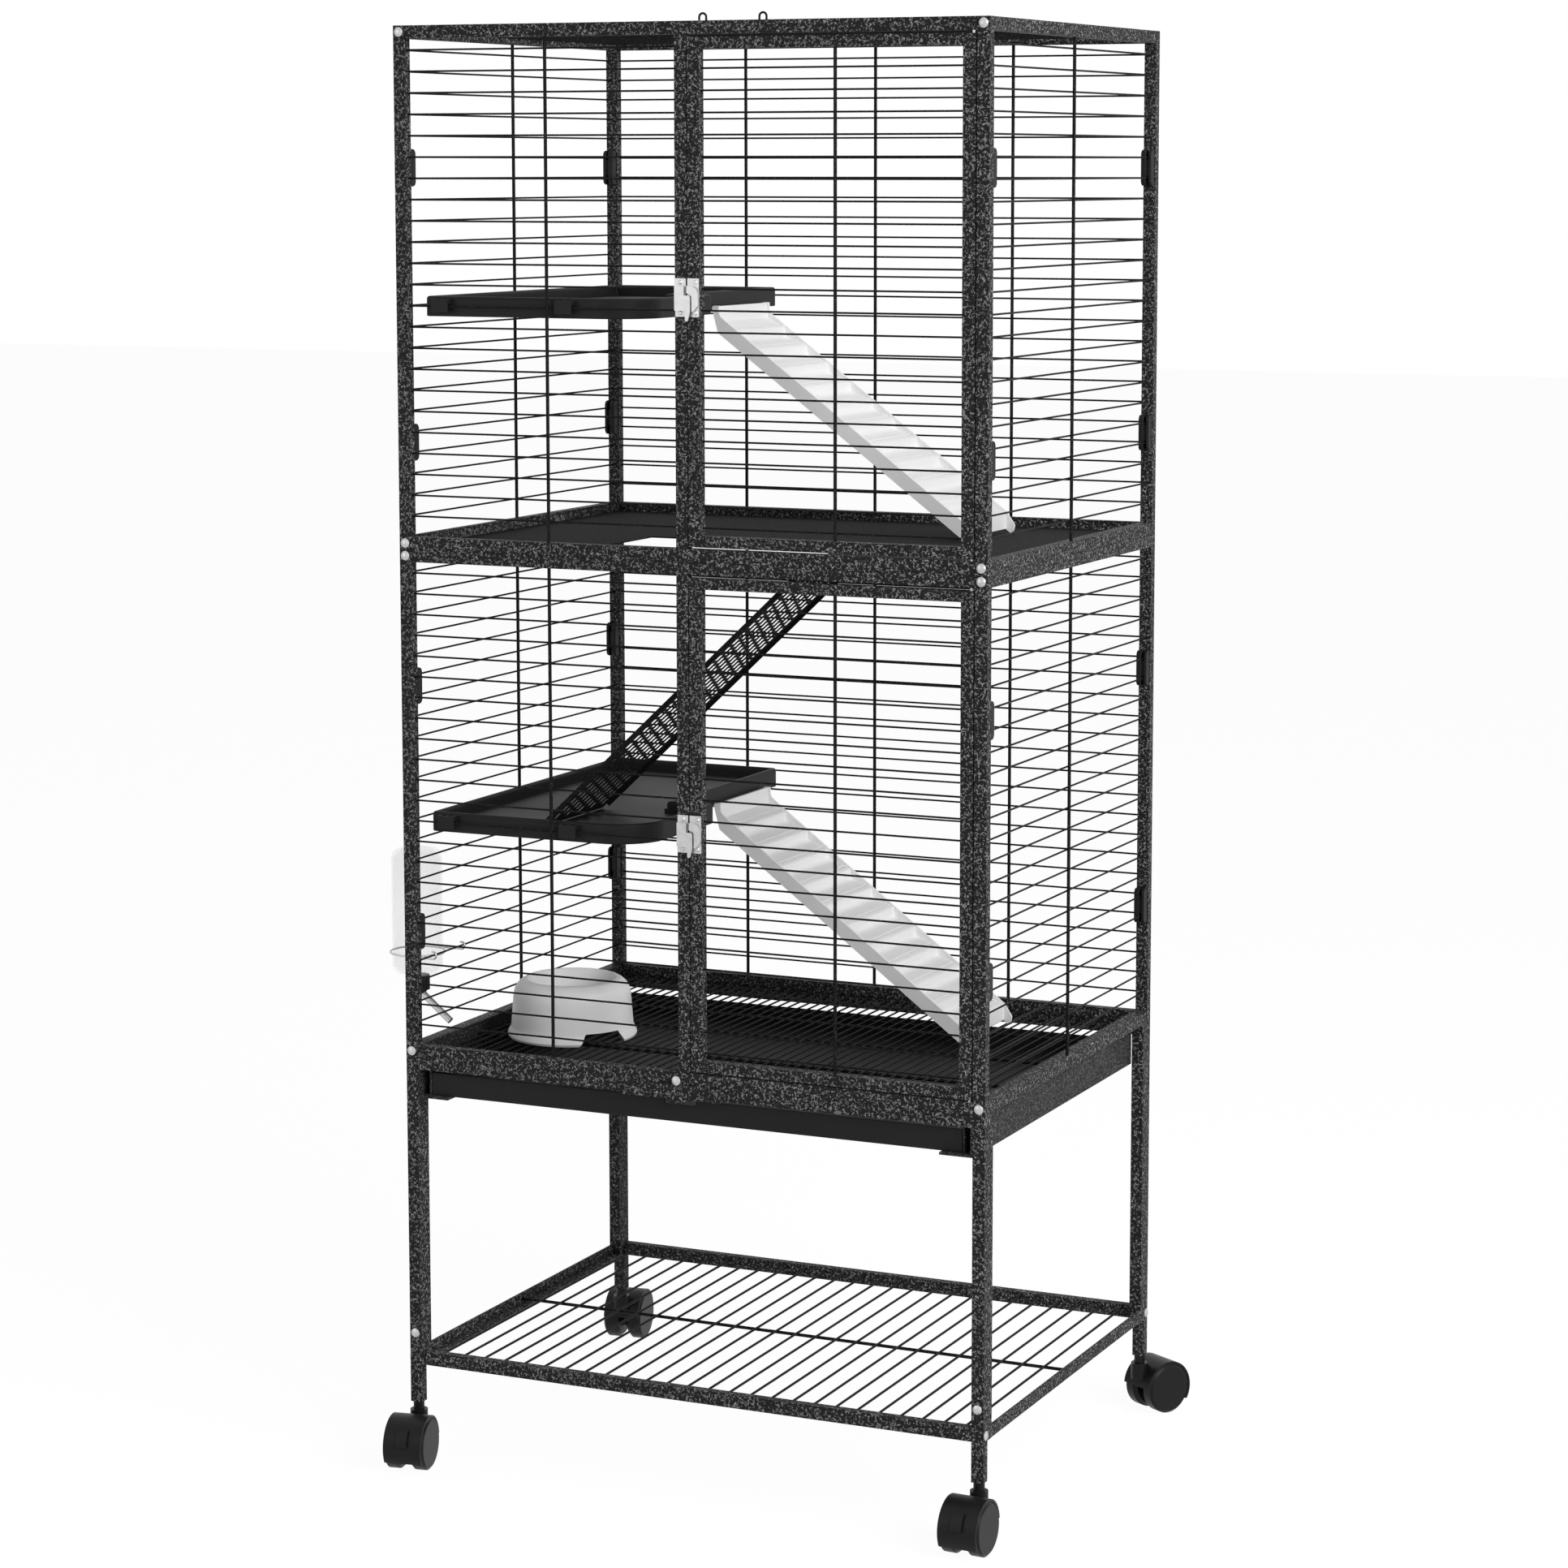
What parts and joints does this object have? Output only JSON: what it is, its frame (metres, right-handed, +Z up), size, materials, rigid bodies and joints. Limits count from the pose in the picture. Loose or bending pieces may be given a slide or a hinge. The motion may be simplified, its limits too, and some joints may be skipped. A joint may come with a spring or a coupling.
{
  "type": "ferret cage",
  "caption": "Tall wire cage for ferrets on a rolling stand with a shelf, swing doors, platforms, ramps, pull-out tray, bowl and bottle.",
  "frame": {"origin": "on the floor, under the middle of the footprint of casters and water bottle", "axes": "+X to the right seen from the front, +Y towards the back, +Z up"},
  "size_m": [0.6917, 0.5374, 1.3895],
  "materials": {
    "coat": "silver-veined hammered powder coat",
    "wire_coat": "speckled powder coat",
    "black_sheet": "fine speckled powder coat",
    "bright_steel": "zinc plated",
    "black_plastic": "fine grain",
    "caster_plastic": "moulded, half gloss",
    "pale_plastic": "fine grain",
    "clear_plastic": "clear"
  },
  "bodies": {
    "cage": {"lower_posts": "coat", "upper_posts": "coat", "centre_stiles": "coat", "lower_bottom_rails": "coat", "lower_top_rails": "coat", "upper_bottom_rails": "coat", "upper_top_rails": "coat", "lower_front_grille": "wire_coat", "lower_back_grille": "wire_coat", "lower_left_grille": "wire_coat", "lower_right_grille": "wire_coat", "upper_front_grille": "wire_coat", "upper_back_grille": "wire_coat", "upper_left_grille": "wire_coat", "upper_right_grille": "wire_coat", "roof_grille": "wire_coat", "roof_loops": "wire_coat", "door_hinge_pins": "bright_steel", "lower_latch_strike": "bright_steel", "upper_latch_strike": "bright_steel", "corner_clips": "black_plastic", "frame_bolts": "bright_steel", "mid_floor": "black_sheet", "lower_platform": "black_plastic", "upper_platform": "black_plastic", "bottle_holder": "bright_steel", "floor_grille": "wire_coat", "tray_runners": "coat", "stand_legs": "coat", "stand_cross_rails": "coat", "shelf_rails": "coat", "shelf_grille": "wire_coat", "caster_stems": "caster_plastic"},
    "lower_door": {"lower_door_frame": "coat", "lower_door_grille": "wire_coat", "lower_latch_keeper": "bright_steel"},
    "upper_door": {"upper_door_frame": "coat", "upper_door_grille": "wire_coat", "upper_latch_keeper": "bright_steel"},
    "lower_latch": {"lower_latch_lever": "bright_steel"},
    "upper_latch": {"upper_latch_lever": "bright_steel"},
    "tray": {"tray": "black_plastic"},
    "tray_lock": {"tray_lock": "coat"},
    "lower_ramp": {"lower_ramp": "pale_plastic"},
    "upper_ramp": {"upper_ramp": "pale_plastic"},
    "hatch_ramp": {"hatch_ramp": "black_sheet"},
    "food_bowl": {"food_bowl": "pale_plastic"},
    "water_bottle": {"bottle_body": "clear_plastic", "bottle_cap": "black_plastic", "bottle_spout": "bright_steel"},
    "hood_front_left": {"caster_hood_front_left": "caster_plastic"},
    "wheels_front_left": {"caster_wheels_front_left": "caster_plastic"},
    "hood_front_right": {"caster_hood_front_right": "caster_plastic"},
    "wheels_front_right": {"caster_wheels_front_right": "caster_plastic"},
    "hood_back_left": {"caster_hood_back_left": "caster_plastic"},
    "wheels_back_left": {"caster_wheels_back_left": "caster_plastic"},
    "hood_back_right": {"caster_hood_back_right": "caster_plastic"},
    "wheels_back_right": {"caster_wheels_back_right": "caster_plastic"},
    "brake_left": {"brake_lever_left": "caster_plastic"},
    "brake_right": {"brake_lever_right": "caster_plastic"}
  },
  "joints": [
    {"name": "lower_door_swing", "type": "hinge", "parent": "cage", "child": "lower_door", "pos_m": [0.2939, -0.2174, 0.647], "axis": [0, 0, 1], "range_deg": [0, 110]},
    {"name": "lower_latch_turn", "type": "hinge", "parent": "lower_door", "child": "lower_latch", "pos_m": [0.0174, -0.224, 0.637], "axis": [0, -1, 0], "range_deg": [0, 75]},
    {"name": "lower_ramp_lift", "type": "hinge", "parent": "cage", "child": "lower_ramp", "pos_m": [-0.0775, 0.0805, 0.626], "axis": [0, -1, 0], "range_deg": [0, 25]},
    {"name": "upper_door_swing", "type": "hinge", "parent": "cage", "child": "upper_door", "pos_m": [0.2939, -0.2174, 1.137], "axis": [0, 0, 1], "range_deg": [0, 110]},
    {"name": "upper_latch_turn", "type": "hinge", "parent": "upper_door", "child": "upper_latch", "pos_m": [0.0174, -0.224, 1.1308], "axis": [0, -1, 0], "range_deg": [0, 75]},
    {"name": "upper_ramp_lift", "type": "hinge", "parent": "cage", "child": "upper_ramp", "pos_m": [-0.0775, 0.0805, 1.116], "axis": [0, -1, 0], "range_deg": [0, 25]},
    {"name": "hatch_ramp_lift", "type": "hinge", "parent": "cage", "child": "hatch_ramp", "pos_m": [0.1205, -0.134, 0.88935], "axis": [0, 1, 0], "range_deg": [0, 25]},
    {"name": "tray_pull", "type": "slide", "parent": "cage", "child": "tray", "axis": [0, -1, 0], "range_m": [0, 0.3]},
    {"name": "tray_lock_turn", "type": "hinge", "parent": "cage", "child": "tray_lock", "pos_m": [0.0006, -0.221, 0.4061], "axis": [0, 1, 0], "range_deg": [0, 180]},
    {"name": "bowl_lift", "type": "slide", "parent": "cage", "child": "food_bowl", "axis": [0, 0, 1], "range_m": [0, 0.12]},
    {"name": "bottle_lift", "type": "slide", "parent": "cage", "child": "water_bottle", "axis": [0, 0, 1], "range_m": [0, 0.002]},
    {"name": "front_left_caster_swivel", "type": "hinge", "parent": "cage", "child": "hood_front_left", "pos_m": [-0.284, -0.215, 0.045], "axis": [0, 0, 1], "continuous": true},
    {"name": "front_left_wheels_roll", "type": "hinge", "parent": "hood_front_left", "child": "wheels_front_left", "pos_m": [-0.27984, -0.23813, 0.025], "axis": [-0.9842, -0.1771, 0], "continuous": true},
    {"name": "brake_left_tip", "type": "hinge", "parent": "hood_front_left", "child": "brake_left", "pos_m": [-0.27474, -0.26649, 0.02905], "axis": [0.9842, 0.1771, 0], "range_deg": [0, 25]},
    {"name": "front_right_caster_swivel", "type": "hinge", "parent": "cage", "child": "hood_front_right", "pos_m": [0.304, -0.215, 0.045], "axis": [0, 0, 1], "continuous": true},
    {"name": "front_right_wheels_roll", "type": "hinge", "parent": "hood_front_right", "child": "wheels_front_right", "pos_m": [0.30326, -0.23849, 0.025], "axis": [-0.9995, 0.0314, 0], "continuous": true},
    {"name": "brake_right_tip", "type": "hinge", "parent": "hood_front_right", "child": "brake_right", "pos_m": [0.30236, -0.26729, 0.02905], "axis": [0.9995, -0.0314, 0], "range_deg": [0, 25]},
    {"name": "back_left_caster_swivel", "type": "hinge", "parent": "cage", "child": "hood_back_left", "pos_m": [-0.284, 0.215, 0.045], "axis": [0, 0, 1], "continuous": true},
    {"name": "back_left_wheels_roll", "type": "hinge", "parent": "hood_back_left", "child": "wheels_back_left", "pos_m": [-0.28747, 0.23824, 0.025], "axis": [0.989, 0.1478, 0], "continuous": true},
    {"name": "back_right_caster_swivel", "type": "hinge", "parent": "cage", "child": "hood_back_right", "pos_m": [0.304, 0.215, 0.045], "axis": [0, 0, 1], "continuous": true},
    {"name": "back_right_wheels_roll", "type": "hinge", "parent": "hood_back_right", "child": "wheels_back_right", "pos_m": [0.31582, 0.23531, 0.025], "axis": [0.8643, -0.503, 0], "continuous": true}
  ]
}
